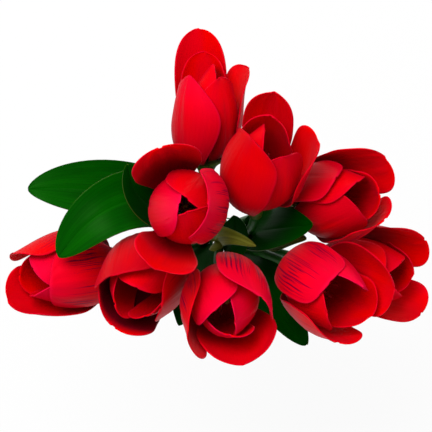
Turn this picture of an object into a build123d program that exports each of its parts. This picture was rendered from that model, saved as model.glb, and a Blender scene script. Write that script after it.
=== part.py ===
"""A bound bunch of nine artificial tulips, built upright: +Z runs up the bundle of stems.

Each head is a receptacle with two whorls of three petals and a calyx. It pushes onto the wire end
of its stem. The stems are sleeves over wire cores, gathered round the middle one by a tape binding.
Nine leaves clasp their stems. Millimetres throughout.
"""
import math
import os

from build123d import *

# Driving dimensions
PETAL_T = 0.7
LEAF_T = 0.7
STEM_R = 2.2
WIRE_R = 1.0
STEM_GAP = 0.2
FIT = 0.03
LEAF_FIT = 0.08
PLAY = 0.3
GRIP_R = 9.0
GRIP_LENGTH = 60.0
CORE_WRAP_LENGTH = 52.0
HEAD_HEIGHT = 335.0
STRAIGHT = 130.0
NECK = 11.4
PEG_LENGTH = 10.5

# Receptacle, calyx and the parts inside the cup
TUBE_R = 2.5
FLANGE_R = 6.2
FLANGE_T = 1.1
STEP_R = 4.0
POST_R = 2.7
POST_TOP = 4.0
POST_CHAMFER = 0.6
PISTIL_R = 1.2
PISTIL_TOP = 22.0
STIGMA_R = 1.1
STAMEN_R = 0.45
STAMEN_TOP = 20.0
STAMEN_RING_R = 1.7
STAMEN_SINK = 0.4
STAMEN_LEAN = 12.0
ANTHER_R = 0.8
ANTHER_LENGTH = 5.0
STAMENS = 6
CALYX_R = 9.0
CALYX_NECK_R = 3.3
CALYX_NECK_TOP = -4.5
CALYX_FLARE = (5.0, -2.6)
CALYX_LIP = 0.4
CALYX_NOTCH_R = 2.6
CALYX_NOTCH_OUT = 0.6
CALYX_NOTCH_FLOOR = -3.0
CALYX_NOTCH_HEIGHT = 6.0
CALYX_POINTS = 7

# Middle gap between the whorls, and the floors they are glued to
INNER_LIFT = 1.1
OUTER_FLOOR = -PETAL_T / 2 - FIT
INNER_FLOOR = INNER_LIFT - PETAL_T / 2 - FIT

# Derived sizes of the bundle
RING_R = (STEM_R + STEM_GAP / 2) / math.sin(math.pi / 8)
SOCKET_R = WIRE_R + PLAY
HEAD_FOOT = -NECK + PLAY

# Where the cross sections of a petal and of a leaf lie, as shares of the length
PETAL_STATIONS = (0.0, 0.08, 0.2, 0.36, 0.52, 0.66, 0.78, 0.87, 0.93, 0.965, 0.985, 0.996)
LEAF_STATIONS = (0.0, 0.06, 0.14, 0.24, 0.36, 0.48, 0.6, 0.72, 0.83, 0.92, 0.97, 0.993)

# Petals: height and bulge of the cup, distance of the tip from the axis, half width, root radius, and
# how square and how blunt the blade closes at the tip
OUTER = dict(
    height=50.0, bulge=19.5, tip=14.0, shoulder=1.18, width=19.5, root=4.6, square=5.0, point=2.2,
    lift=0.0,
)
INNER = dict(
    height=45.0, bulge=15.8, tip=6.0, shoulder=1.20, width=16.0, root=3.2, square=3.0, point=2.2,
    lift=INNER_LIFT,
)

# Shared form of the petals: how they leave the foot and turn up, where they are widest, how much each
# is turned to lap over the next, and the roundest and flattest cross section
ROOT_FLARE = 1.25
ROOT_RISE = 0.02
SHOULDER_AT = 0.6
ROOT_WIDTH = 0.16
WIDEST_AT = 0.6
PETAL_YAW = 5.0
ROUNDEST = 0.8
FLATTEST_R = 70.0
LEAST_RISE = 0.08

# Shared form of the leaves: half width at the root, where they are widest, how they close at the tip,
# and how far the channel reaches round the stem
LEAF_ROOT_WIDTH = 3.0
LEAF_WIDEST_AT = 0.6
LEAF_SQUARE = 2.0
LEAF_POINT = 1.6
LEAF_WRAP = 1.25
LEAF_OPENS_AT = 0.08
LEAF_FLATTENS_AT = 0.06
LEAF_OPENING = 0.4
LEAF_FLATTENING = 1.5

# Heads: foot of the cup, its height counted from HEAD_HEIGHT, direction, place in the ring of stems,
# how the stem leads up and bends in, then the direction of each petal round the axis with what sets
# it apart
FLOWERS = {
    1: dict(
        foot=(-11.3, 37.2, -35), axis=(-0.02, 0.90, 0.43), ring=105, lead=60, tail=16,
        outer=[
            (98, dict(height=61, tip=12, width=13.5, bulge=16.5, square=2.5)),
            (22, dict(height=43, tip=22, shoulder=1.0, width=15, bulge=16.5)),
            (228, dict(height=45, tip=9, width=20, bulge=16.5, point=1.1, square=2.0)),
        ],
        inner=[
            (85, dict(height=50, tip=8, bulge=13.2, width=14, square=2.5)),
            (192, dict(height=46, tip=-5, bulge=13.0, width=14, point=1.8)),
            (316, dict(height=43, tip=10, bulge=13.6, width=14, point=1.4)),
        ],
    ),
    2: dict(
        foot=(12.8, 18.2, -13), axis=(0.08, 0.68, 0.73), ring=15, lead=90, tail=16,
        outer=[
            (80, dict(height=54, tip=14, width=12.5, square=2.5)),
            (5, dict(height=36, tip=24, shoulder=1.05, width=17.5)),
            (217, dict(height=46, tip=10, width=21.5, point=1.8, square=3.5)),
        ],
        inner=[
            (76, dict(tip=7, square=2.5)),
            (178, dict(height=43, tip=1, point=1.7)),
            (300, dict(height=38, tip=13)),
        ],
    ),
    3: dict(
        foot=(-20.2, 12.8, 0), axis=(0, 0.05, 0.99), ring=None, lead=110, tail=45,
        outer=[
            (113, dict(height=48, tip=26, width=17, bulge=20)),
            (-5, dict(tip=10, width=20.5, bulge=19)),
            (247, dict(height=47, tip=30, width=15.5, bulge=20, point=1.7)),
        ],
        inner=[
            (58, dict(height=46, tip=4.5, bulge=17, square=2.2)),
            (176, dict(height=46, tip=4.5, bulge=17, square=2.2)),
            (290, dict(tip=5, bulge=17, square=2.2)),
        ],
    ),
    4: dict(
        foot=(36.6, 14.6, -42), axis=(0.58, 0.10, 0.81), ring=60, lead=60, tail=30,
        outer=[
            (60, dict(height=48, tip=20, width=18.5)),
            (145, dict(height=39, tip=15, width=13.5)),
            (314, dict(height=46, tip=14, width=17)),
        ],
        inner=[(12, dict(tip=7)), (128, dict(height=44, tip=8)), (232, dict(height=44, tip=8))],
    ),
    5: dict(
        foot=(50.2, -13.4, -71), axis=(0.72, -0.12, 0.68), ring=330, lead=50, tail=30,
        outer=[
            (54, dict(height=48, tip=21, shoulder=1.1, width=18)),
            (182, dict(height=47, tip=15)),
            (-55, dict(height=48, tip=23, shoulder=1.1, width=17)),
        ],
        inner=[(0, dict(tip=7)), (120, dict(tip=7)), (240, dict(tip=8))],
    ),
    6: dict(
        foot=(-59.0, -13.2, -62), axis=(-0.80, -0.15, 0.57), ring=195, lead=45, tail=30,
        outer=[
            (106, dict(tip=13, width=17)),
            (-12, dict(height=42, tip=13, width=21)),
            (233, dict(height=54, tip=12)),
        ],
        inner=[(46, dict(tip=8)), (170, dict(tip=8)), (290, dict(tip=8))],
    ),
    7: dict(
        foot=(-34.2, -10.2, -43), axis=(-0.22, -0.40, 0.88), ring=150, lead=65, tail=18,
        outer=[
            (118, dict(height=48, tip=15)),
            (-10, dict(height=47, tip=13, width=17, square=3.0)),
            (232, dict(height=48, tip=16)),
        ],
        inner=[
            (72, dict(tip=7, bulge=16.5)),
            (193, dict(tip=9, bulge=16.5)),
            (306, dict(tip=9, bulge=16.5)),
        ],
    ),
    8: dict(
        foot=(-3.6, -21.0, -15), axis=(0.10, -0.36, 0.93), ring=240, lead=80, tail=25,
        outer=[
            (50, dict(height=48, tip=17.5, width=21, square=3.0)),
            (190, dict(height=47, tip=20, width=22, square=3.0)),
            (284, dict(height=48, tip=19, width=21, square=3.5)),
        ],
        inner=[
            (10, dict(height=44, tip=1, width=16.5)),
            (139, dict(height=45, tip=10.5)),
            (258, dict(height=44, tip=6)),
        ],
    ),
    9: dict(
        foot=(34.0, -16.5, -25), axis=(0.42, -0.25, 0.87), ring=285, lead=75, tail=28,
        outer=[
            (138, dict(height=45, tip=13.5, width=16.5)),
            (14, dict(height=49, tip=21, width=18)),
            (253, dict(height=48, tip=19)),
        ],
        inner=[
            (66, dict(height=50, tip=8, point=1.3, square=2.2)),
            (204, dict(tip=12)),
            (324, dict(tip=14)),
        ],
    ),
}

# Leaves: stem they clasp, share of its bend, side of the stem, how far they follow it, the bend and
# the tip with heights counted from HEAD_HEIGHT, the way the face looks, half width and the hollow of
# the blade
LEAVES = {
    1: dict(
        stem=1, at=0.46, side=(-1, 0.3, 0), grow=35, bend=(-62, 27, -45), tip=(-97, 23, -43),
        face=(0, 0.3, 1), width=16.5, cup=45,
    ),
    2: dict(
        stem=3, at=0.60, side=(-1, 0.4, 0), grow=25, bend=(-44, 40, 7), tip=(-80, -9, -17),
        face=(0.1, 0.2, 1), width=14.5, cup=40,
    ),
    3: dict(
        stem=3, at=0.80, side=(-1, 0.2, 0), grow=12, bend=(-44, 8, 3), tip=(-46, 33, 17),
        face=(0.6, 0, 1), width=9, cup=25,
    ),
    4: dict(
        stem=2, at=0.55, side=(1, 0, 0), grow=25, bend=(18, 4, -17), tip=(38, 6, -7),
        face=(0, 0.2, 1), width=13, cup=40,
    ),
    5: dict(
        stem=8, at=0.45, side=(-1, 1.2, 0), grow=45, bend=(-12, 7, -5), tip=(12, -4, -19),
        face=(0, 0, -1), width=5.5, cup=30,
    ),
    6: dict(
        stem=9, at=0.40, side=(-0.3, -1, 0), grow=45, bend=(22, -32, -35), tip=(37, -52, -43),
        face=(0, 0.2, 1), width=12, cup=40,
    ),
    7: dict(
        stem=5, at=0.58, side=(-0.5, 1, 0.3), grow=25, bend=(24, 2, -43), tip=(37, -1, -43),
        face=(0, -0.2, -1), width=7, cup=30,
    ),
    8: dict(
        stem=6, at=0.30, side=(0.1, -1, 0), grow=42, bend=(-22, -30, -41), tip=(-24, -43, -49),
        face=(0, 0.2, 1), width=10.5, cup=40,
    ),
    9: dict(
        stem=8, at=0.60, side=(1, 0, 0), grow=35, bend=(4, -1, -39), tip=(2, 10, -27),
        face=(0, 0.2, 1), width=9, cup=40,
    ),
}

UP = Vector(0, 0, 1)


def ease(x):
    """Smooth step from 0 to 1."""
    x = min(max(x, 0.0), 1.0)
    return x * x * (3 - 2 * x)


def place(point):
    """A point of the tables, whose height is counted from HEAD_HEIGHT."""
    return Vector(*point) + UP * HEAD_HEIGHT


def width_share(v, root, wide, square, point):
    """Half width of a blade at share v of its length: full at wide, closing at the tip."""
    if v < wide:
        return root + (1 - root) * math.sin(math.pi / 2 * v / wide)
    s = (v - wide) / (1 - wide)
    return (1 - s**square) ** (1 / point)


def crescent(plane, half_width, radius, thick):
    """Cross section of a blade: a strip of an arc whose hollow faces the plane's y direction."""
    swing = half_width / radius
    back = radius + thick / 2
    front = radius - thick / 2
    with BuildSketch(plane) as section:
        with BuildLine():
            outer_edge = ThreePointArc(
                (-back * math.sin(swing), radius - back * math.cos(swing)),
                (0, radius - back),
                (back * math.sin(swing), radius - back * math.cos(swing)),
            )
            inner_edge = ThreePointArc(
                (-front * math.sin(swing), radius - front * math.cos(swing)),
                (0, radius - front),
                (front * math.sin(swing), radius - front * math.cos(swing)),
            )
            Line(outer_edge @ 0, inner_edge @ 0)
            Line(outer_edge @ 1, inner_edge @ 1)
        make_face()
    return section.sketch


def head_plane(flower):
    """Frame of a head: the upright frame tipped over to the head's direction."""
    axis = Vector(*flower["axis"]).normalized()
    across = Vector(1, 0, 0) - (axis + UP) * (axis.X / (1 + axis.Z))
    return Plane(place(flower["foot"]), across, axis)


def petal(azimuth, p):
    """One petal standing on the foot of its head, whose axis is Z."""
    radial = Vector(1, 0, 0).rotate(Axis.Z, azimuth)
    tangent = Vector(0, 1, 0).rotate(Axis.Z, azimuth)
    outline = [
        (p["root"], 0),
        (ROOT_FLARE * p["bulge"], ROOT_RISE * p["height"]),
        (p["shoulder"] * p["bulge"], SHOULDER_AT * p["height"]),
        (p["tip"], p["height"]),
    ]
    rib = Bezier(*[radial * r + UP * (z + p["lift"]) for r, z in outline])
    sections = []
    for v in PETAL_STATIONS:
        middle = rib @ v
        along = rib % v
        turn = math.radians(PETAL_YAW) * ease(2 * v)
        side = tangent * math.cos(turn) + tangent.cross(along) * math.sin(turn)
        radius = middle.dot(radial) / max(along.dot(UP), LEAST_RISE)
        radius = min(max(radius, ROUNDEST * p["bulge"]), FLATTEST_R)
        share = width_share(v, ROOT_WIDTH, WIDEST_AT, p["square"], p["point"])
        sections.append(crescent(Plane(middle, side, along), p["width"] * share, radius, PETAL_T))
    with BuildPart() as blade:
        loft(sections)
    return blade.part


def whorl(flower, name, common):
    """Three petals of one flower in its place."""
    stand = head_plane(flower).location
    return Compound(children=[stand * petal(azimuth, {**common, **own}) for azimuth, own in flower[name]])


def stem_curve(flower):
    """Foot of a stem and the bend that takes it from the bundle to its head."""
    start = Vector(0, 0, 0)
    if flower["ring"] is not None:
        start = Vector(RING_R, 0, 0).rotate(Axis.Z, flower["ring"])
    axis = Vector(*flower["axis"]).normalized()
    end = place(flower["foot"]) - axis * NECK
    top = start + UP * STRAIGHT
    bend = Bezier(top, top + UP * flower["lead"], end - axis * flower["tail"], end)
    return start, bend


def stem(flower):
    """Sleeve of one stem, swept with its bore."""
    start, bend = stem_curve(flower)
    with BuildPart() as sleeve:
        with BuildLine():
            Line(start, bend @ 0)
            add(bend)
        with BuildSketch(Plane(start, (1, 0, 0), UP)):
            Circle(STEM_R)
            Circle(WIRE_R + FIT, mode=Mode.SUBTRACT)
        sweep()
    return sleeve.part


def wire(flower):
    """Core of one stem, standing out at the top as the peg of the head."""
    start, bend = stem_curve(flower)
    with BuildPart() as core:
        with BuildLine():
            Line(start, bend @ 0)
            add(bend)
            Line(bend @ 1, (bend @ 1) + (bend % 1) * PEG_LENGTH)
        with BuildSketch(Plane(start, (1, 0, 0), UP)):
            Circle(WIRE_R)
        sweep()
    return core.part


def leaf(form):
    """One leaf: a channel that clasps the stem and opens into a blade."""
    start, bend = stem_curve(FLOWERS[form["stem"]])
    grip = STEM_R + LEAF_FIT + LEAF_T / 2
    up_stem = bend % form["at"]
    side = Vector(*form["side"])
    side = (side - up_stem * side.dot(up_stem)).normalized()
    root = (bend @ form["at"]) + side * grip
    rib = Bezier(root, root + up_stem * form["grow"], place(form["bend"]), place(form["tip"]))
    face = Vector(*form["face"]).normalized()
    sections = []
    for v in LEAF_STATIONS:
        along = rib % v
        opened = ease((v - LEAF_OPENS_AT) / LEAF_OPENING)
        look = side * (opened - 1) + face * opened
        look = (look - along * look.dot(along)).normalized()
        flattened = ease((v - LEAF_FLATTENS_AT) / LEAF_OPENING) ** LEAF_FLATTENING
        radius = grip + (form["cup"] - grip) * flattened
        root_share = LEAF_ROOT_WIDTH / form["width"]
        share = width_share(v, root_share, LEAF_WIDEST_AT, LEAF_SQUARE, LEAF_POINT)
        half_width = min(form["width"] * share, LEAF_WRAP * radius)
        sections.append(crescent(Plane(rib @ v, look.cross(along), along), half_width, radius, LEAF_T))
    with BuildPart() as blade:
        loft(sections)
    return blade.part


os.makedirs("parts", exist_ok=True)

# Receptacle: socket tube, flange for the outer whorl, step for the inner whorl, pistil and stamens
with BuildPart() as centre:
    with BuildSketch(Plane.XZ):
        with BuildLine():
            Polyline(
                (0, HEAD_FOOT), (TUBE_R, HEAD_FOOT), (TUBE_R, OUTER_FLOOR - FLANGE_T),
                (FLANGE_R, OUTER_FLOOR - FLANGE_T), (FLANGE_R, OUTER_FLOOR), (STEP_R, OUTER_FLOOR),
                (STEP_R, INNER_FLOOR), (POST_R, INNER_FLOOR), (POST_R, POST_TOP - POST_CHAMFER),
                (POST_R - POST_CHAMFER, POST_TOP), (PISTIL_R, POST_TOP),
                (PISTIL_R, PISTIL_TOP), (0, PISTIL_TOP),
                close=True,
            )
        make_face()
    revolve(axis=Axis.Z)
    with BuildSketch(Plane.XY.offset(HEAD_FOOT)):
        Circle(SOCKET_R)
    extrude(amount=-HEAD_FOOT, mode=Mode.SUBTRACT)
    with Locations((0, 0, PISTIL_TOP)):
        with PolarLocations(STIGMA_R, 3):
            Sphere(STIGMA_R)
    with PolarLocations(STAMEN_RING_R, STAMENS):
        with Locations(Location((0, 0, POST_TOP - STAMEN_SINK), (0, STAMEN_LEAN, 0))):
            Cylinder(STAMEN_R, STAMEN_TOP - POST_TOP, align=(Align.CENTER, Align.CENTER, Align.MIN))
            with Locations((0, 0, STAMEN_TOP - POST_TOP)):
                Cylinder(ANTHER_R, ANTHER_LENGTH, align=(Align.CENTER, Align.CENTER, Align.MIN))

# Calyx: a cup under the petals with a pointed rim, round the socket tube
with BuildPart() as calyx:
    with BuildSketch(Plane.XZ):
        with BuildLine():
            bottom = Line((TUBE_R + FIT, HEAD_FOOT), (CALYX_NECK_R, HEAD_FOOT))
            flare = Bezier(
                (CALYX_NECK_R, HEAD_FOOT), (CALYX_NECK_R, CALYX_NECK_TOP), CALYX_FLARE, (CALYX_R, 0.0)
            )
            Polyline(
                flare @ 1, (CALYX_R - CALYX_LIP, FIT), (FLANGE_R + FIT, OUTER_FLOOR - 3 * FIT),
                (FLANGE_R + FIT, OUTER_FLOOR - FLANGE_T - FIT), (TUBE_R + FIT, OUTER_FLOOR - FLANGE_T - FIT),
                bottom @ 0,
            )
        make_face()
    revolve(axis=Axis.Z)
    with BuildSketch(Plane.XY.offset(CALYX_NOTCH_FLOOR)):
        with PolarLocations(CALYX_R + CALYX_NOTCH_OUT, CALYX_POINTS, start_angle=180.0 / CALYX_POINTS):
            RegularPolygon(CALYX_NOTCH_R, 3, rotation=180)
    extrude(amount=CALYX_NOTCH_HEIGHT, mode=Mode.SUBTRACT)

# Tape round the middle stem, and the binding round the ring of stems
with BuildPart() as core_wrap:
    with BuildSketch(Plane.XY.offset((GRIP_LENGTH - CORE_WRAP_LENGTH) / 2)):
        Circle(RING_R - STEM_R - FIT)
        Circle(STEM_R + FIT, mode=Mode.SUBTRACT)
    extrude(amount=CORE_WRAP_LENGTH)
core_wrap.part.label = "core_wrap"
export_step(core_wrap.part, "parts/core_wrap.step")

with BuildPart() as binding:
    with BuildSketch():
        Circle(GRIP_R)
        Circle(RING_R + STEM_R + FIT, mode=Mode.SUBTRACT)
    extrude(amount=GRIP_LENGTH)
binding.part.label = "binding"
export_step(binding.part, "parts/binding.step")

# Heads and stems
cores = []
for number, flower in FLOWERS.items():
    pieces = {
        f"flower_{number}_outer_petals": whorl(flower, "outer", OUTER),
        f"flower_{number}_inner_petals": whorl(flower, "inner", INNER),
        f"flower_{number}_centre": head_plane(flower).location * centre.part,
        f"flower_{number}_calyx": head_plane(flower).location * calyx.part,
        f"stem_{number}": stem(flower),
    }
    for name, piece in pieces.items():
        piece.label = name
        export_step(piece, f"parts/{name}.step")
    cores.append(wire(flower))

stem_wires = Compound(children=cores)
stem_wires.label = "stem_wires"
export_step(stem_wires, "parts/stem_wires.step")

# Leaves
for number, form in LEAVES.items():
    blade = leaf(form)
    blade.label = f"leaf_{number}"
    export_step(blade, f"parts/leaf_{number}.step")
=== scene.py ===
"""Looks of a bunch of nine red artificial tulips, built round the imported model.

Fabric petals, embossed leaves, grooved stems, pistils with stamens and the taped grip replace their plain
solids. The lengths of the shapes are in millimetres and are scaled to metres when a piece is made.
"""
import math

import bpy
import numpy as np
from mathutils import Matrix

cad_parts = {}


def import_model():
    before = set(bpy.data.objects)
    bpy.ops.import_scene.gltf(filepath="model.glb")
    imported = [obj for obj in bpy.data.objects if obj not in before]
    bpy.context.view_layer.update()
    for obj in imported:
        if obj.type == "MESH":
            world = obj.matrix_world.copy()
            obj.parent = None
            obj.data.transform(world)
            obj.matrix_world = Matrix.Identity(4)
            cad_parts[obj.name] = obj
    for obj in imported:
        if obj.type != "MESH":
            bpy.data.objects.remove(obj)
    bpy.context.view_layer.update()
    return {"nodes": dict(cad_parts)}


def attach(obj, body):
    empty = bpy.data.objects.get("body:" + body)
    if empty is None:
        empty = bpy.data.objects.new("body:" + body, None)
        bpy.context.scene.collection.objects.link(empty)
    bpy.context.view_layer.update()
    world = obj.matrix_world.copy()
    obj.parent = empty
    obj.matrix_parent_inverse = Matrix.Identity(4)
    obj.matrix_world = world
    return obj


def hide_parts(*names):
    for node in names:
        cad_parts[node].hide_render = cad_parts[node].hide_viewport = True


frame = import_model()

MM = 0.001
UP = np.array([0.0, 0.0, 1.0])
FULL_TURN = 2 * math.pi
CURVE_STEPS = 201

# Camera straight above the heads, with the photograph's frame of 432 pixels
CAMERA_AT = (-6.5, 10.0, 1130.0)
FOCAL_PIXELS = 1739.0
FRAME_PIXELS = 432.0
SENSOR = 36.0

# Thicknesses and radii
PETAL_T = 0.5
LEAF_T = 0.6
STEM_R = 2.2
STEM_GAP = 0.2
RING_STEMS = 8
RING_R = (STEM_R + STEM_GAP / 2) / math.sin(math.pi / RING_STEMS)
STRAIGHT = 130.0
NECK = 11.4
LEAF_FIT = 0.08
LEAF_SOLID_T = 0.7
GRIP_R = 9.0
GRIP_LENGTH = 60.0
GRIP_FIT = 0.03
GRIP_INSIDE_R = RING_R + STEM_R + GRIP_FIT

# Petals of the two whorls: height, widest radius, radius at the tip, fullness of the shoulder, half width,
# radius at the root, squareness and bluntness of the tip, lift of the root, shares of the vein print, of
# the painted pink sheen and of the painted shade, and the folds along the petal: place across it and depth
OUTER = dict(
    height=50.0, bulge=19.5, tip=14.0, shoulder=1.18, width=19.5, root=4.6, square=5.0, point=2.2,
    lift=0.0, vein=0.7, blush=0.05, dark=0.0, folds=(),
)
INNER = dict(
    height=45.0, bulge=15.8, tip=6.0, shoulder=1.20, width=16.0, root=3.2, square=3.0, point=2.2,
    lift=1.1, vein=0.0, blush=0.1, dark=0.0, folds=(),
)

# Shared form of the petals and of the leaves
ROOT_FLARE = 1.25
ROOT_RISE = 0.02
SHOULDER_AT = 0.6
ROOT_WIDTH = 0.16
WIDEST_AT = 0.6
PETAL_YAW = math.radians(5.0)
ROUNDEST = 0.8
FLATTEST_R = 70.0
LEAST_RISE = 0.08
TIP_TURN = math.radians(88.0)
LEAF_ROOT_WIDTH = 3.0
LEAF_WIDEST_AT = 0.6
LEAF_SQUARE = 2.0
LEAF_POINT = 1.6
LEAF_WRAP = 1.25
LEAF_OPENS_AT = 0.08
LEAF_FLATTENS_AT = 0.06
LEAF_OPENING = 0.4
LEAF_FLATTENING = 1.5

# Flowers: foot and axis of the head, place of the stem in the grip, the stem's two easings, and the
# petals of each whorl by their direction round the axis
FLOWERS = {
    1: dict(
        foot=(-11.3, 37.2, 300), axis=(-0.02, 0.90, 0.43), ring=105, lead=60, tail=16,
        outer=[
            (98, dict(height=61, tip=12, width=13.5, bulge=16.5, square=2.5, vein=0.4,
                      folds=((-0.35, 0.3),))),
            (22, dict(height=43, tip=22, shoulder=1.0, width=15, bulge=16.5, vein=0.6)),
            (228, dict(height=45, tip=9, width=20, bulge=16.5, point=1.1, square=2.0, vein=0.0, blush=0.4,
                       folds=((0.1, -0.7),))),
        ],
        inner=[
            (85, dict(height=50, tip=8, bulge=13.2, width=14, square=2.5)),
            (192, dict(height=46, tip=-5, bulge=13.0, width=14, point=1.8)),
            (316, dict(height=43, tip=10, bulge=13.6, width=14, point=1.4)),
        ],
    ),
    2: dict(
        foot=(12.8, 18.2, 322), axis=(0.08, 0.68, 0.73), ring=15, lead=90, tail=16,
        outer=[
            (80, dict(height=54, tip=14, width=12.5, square=2.5, vein=0.4, folds=((-0.3, 0.6), (0.35, 0.4)))),
            (5, dict(height=36, tip=24, shoulder=1.05, width=17.5, vein=0.8)),
            (217, dict(height=46, tip=10, width=21.5, point=1.8, square=3.5, vein=0.0, blush=0.0, dark=0.5)),
        ],
        inner=[
            (76, dict(tip=7, square=2.5)),
            (178, dict(height=43, tip=1, point=1.7)),
            (300, dict(height=38, tip=13, dark=0.3)),
        ],
    ),
    3: dict(
        foot=(-20.2, 12.8, 335), axis=(0, 0.05, 0.99), ring=None, lead=110, tail=45,
        outer=[
            (113, dict(height=48, tip=26, width=17, bulge=20, dark=0.25,
                       folds=((-0.5, 0.8), (0.0, 0.7), (0.45, 0.8)))),
            (-5, dict(tip=10, width=20.5, bulge=19, vein=1.0, blush=0.6)),
            (247, dict(height=47, tip=30, width=15.5, bulge=20, point=1.7)),
        ],
        inner=[
            (58, dict(height=46, tip=2.5, bulge=17, square=2.2)),
            (176, dict(height=46, tip=2, bulge=17, square=2.2, blush=1.0)),
            (290, dict(tip=3.5, bulge=17, square=2.2)),
        ],
    ),
    4: dict(
        foot=(36.6, 14.6, 293), axis=(0.58, 0.10, 0.81), ring=60, lead=60, tail=30,
        outer=[
            (60, dict(height=48, tip=20, width=18.5, folds=((0.25, 0.6), (-0.4, 0.5)))),
            (145, dict(height=39, tip=15, width=13.5, vein=0.2, blush=0.3, dark=0.4)),
            (314, dict(height=46, tip=14, width=17)),
        ],
        inner=[(12, dict(tip=7)), (128, dict(height=44, tip=8)), (232, dict(height=44, tip=8, dark=0.35))],
    ),
    5: dict(
        foot=(50.2, -13.4, 264), axis=(0.72, -0.12, 0.68), ring=330, lead=50, tail=30,
        outer=[
            (54, dict(height=48, tip=21, shoulder=1.1, width=18, folds=((-0.2, 0.5), (0.3, 0.4)))),
            (182, dict(height=47, tip=15, vein=0.3)),
            (-55, dict(height=48, tip=23, shoulder=1.1, width=17)),
        ],
        inner=[(0, dict(tip=7)), (120, dict(tip=7)), (240, dict(tip=8))],
    ),
    6: dict(
        foot=(-59.0, -13.2, 273), axis=(-0.80, -0.15, 0.57), ring=195, lead=45, tail=30,
        outer=[
            (106, dict(tip=13, width=17)),
            (-12, dict(height=42, tip=13, width=21, vein=1.0, blush=0.4,
                       folds=((-0.5, 0.4), (-0.15, 0.35), (0.2, 0.4), (0.55, 0.4)))),
            (233, dict(height=54, tip=12)),
        ],
        inner=[(46, dict(tip=8, blush=0.8)), (170, dict(tip=8)), (290, dict(tip=8, blush=0.8))],
    ),
    7: dict(
        foot=(-34.2, -10.2, 292), axis=(-0.22, -0.40, 0.88), ring=150, lead=65, tail=18,
        outer=[
            (118, dict(height=48, tip=15, vein=0.2, dark=0.4)),
            (-10, dict(height=47, tip=13, width=17, square=3.0, vein=0.4, dark=0.3)),
            (232, dict(height=48, tip=16, dark=0.85)),
        ],
        inner=[
            (72, dict(tip=7, bulge=16.5)),
            (193, dict(tip=9, bulge=16.5)),
            (306, dict(tip=9, bulge=16.5)),
        ],
    ),
    8: dict(
        foot=(-3.6, -21.0, 320), axis=(0.10, -0.36, 0.93), ring=240, lead=80, tail=25,
        outer=[
            (50, dict(height=48, tip=17.5, width=21, square=3.0, vein=1.0, blush=0.5,
                      folds=((-0.4, 0.3), (0.4, 0.3)))),
            (190, dict(height=47, tip=20, width=22, square=3.0, vein=1.0, blush=0.0)),
            (284, dict(height=48, tip=19, width=21, square=3.5)),
        ],
        inner=[
            (10, dict(height=44, tip=1, width=16.5, blush=0.8)),
            (139, dict(height=45, tip=10.5, blush=0.8)),
            (258, dict(height=44, tip=6, blush=0.8)),
        ],
    ),
    9: dict(
        foot=(34.0, -16.5, 310), axis=(0.42, -0.25, 0.87), ring=285, lead=75, tail=28,
        outer=[
            (138, dict(height=45, tip=13.5, width=16.5, vein=1.0, blush=0.6,
                       folds=((-0.3, 0.4), (0.1, 0.5)))),
            (14, dict(height=49, tip=21, width=18)),
            (253, dict(height=48, tip=19, vein=0.4)),
        ],
        inner=[
            (66, dict(height=50, tip=8, point=1.3, square=2.2, blush=0.9)),
            (204, dict(tip=12)),
            (324, dict(tip=14)),
        ],
    ),
}

# Leaves: stem they clasp, share of its bend, side of the stem, how far they follow it, the bend and the tip,
# the way the face looks, half width, hollow of the blade, swing of its wavy edge and share of painted shade
LEAVES = {
    1: dict(
        stem=1, at=0.46, side=(-1, 0.3, 0), grow=35, bend=(-62, 27, 290), tip=(-97, 23, 292),
        face=(0, 0.3, 1), width=16.5, cup=45, wave=0.5, dark=0.1,
    ),
    2: dict(
        stem=3, at=0.60, side=(-1, 0.4, 0), grow=25, bend=(-44, 40, 342), tip=(-80, -9, 318),
        face=(0.1, 0.2, 1), width=14.5, cup=40, wave=0.5, dark=0.0,
    ),
    3: dict(
        stem=3, at=0.80, side=(-1, 0.2, 0), grow=12, bend=(-44, 8, 338), tip=(-46, 33, 352),
        face=(0.6, 0, 1), width=9, cup=25, wave=0.2, dark=0.5,
    ),
    4: dict(
        stem=2, at=0.55, side=(1, 0, 0), grow=25, bend=(18, 4, 318), tip=(38, 6, 328),
        face=(0, 0.2, 1), width=13, cup=40, wave=0.4, dark=0.8,
    ),
    5: dict(
        stem=8, at=0.45, side=(-1, 1.2, 0), grow=45, bend=(-12, 7, 330), tip=(12, -4, 316),
        face=(0, 0, -1), width=5.5, cup=30, wave=0.2, dark=0.0,
    ),
    6: dict(
        stem=9, at=0.40, side=(-0.3, -1, 0), grow=45, bend=(22, -32, 300), tip=(37, -52, 292),
        face=(0, 0.2, 1), width=12, cup=40, wave=1.0, dark=0.5,
    ),
    7: dict(
        stem=5, at=0.58, side=(-0.5, 1, 0.3), grow=25, bend=(24, 2, 292), tip=(37, -1, 292),
        face=(0, -0.2, -1), width=7, cup=30, wave=0.2, dark=0.1,
    ),
    8: dict(
        stem=6, at=0.30, side=(0.1, -1, 0), grow=42, bend=(-22, -30, 294), tip=(-24, -43, 286),
        face=(0, 0.2, 1), width=10.5, cup=40, wave=0.8, dark=0.5,
    ),
    9: dict(
        stem=8, at=0.60, side=(1, 0, 0), grow=35, bend=(4, -1, 296), tip=(2, 10, 308),
        face=(0, 0.2, 1), width=9, cup=40, wave=0.3, dark=0.7,
    ),
}


# Curves and surfaces

def unit(vector):
    """One vector at length 1"""
    vector = np.asarray(vector, float)
    return vector / np.linalg.norm(vector)


def rows_unit(vectors):
    """Every vector at length 1"""
    return vectors / np.linalg.norm(vectors, axis=-1, keepdims=True)


def ease(x):
    """Smooth step from 0 at 0 to 1 at 1"""
    x = np.clip(x, 0.0, 1.0)
    return x * x * (3.0 - 2.0 * x)


def bezier(points, t):
    """Places on a cubic curve"""
    a, b, c, d = (np.asarray(point, float) for point in points)
    t = np.asarray(t, float)[:, None]
    return (1 - t) ** 3 * a + 3 * (1 - t) ** 2 * t * b + 3 * (1 - t) * t ** 2 * c + t ** 3 * d


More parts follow.
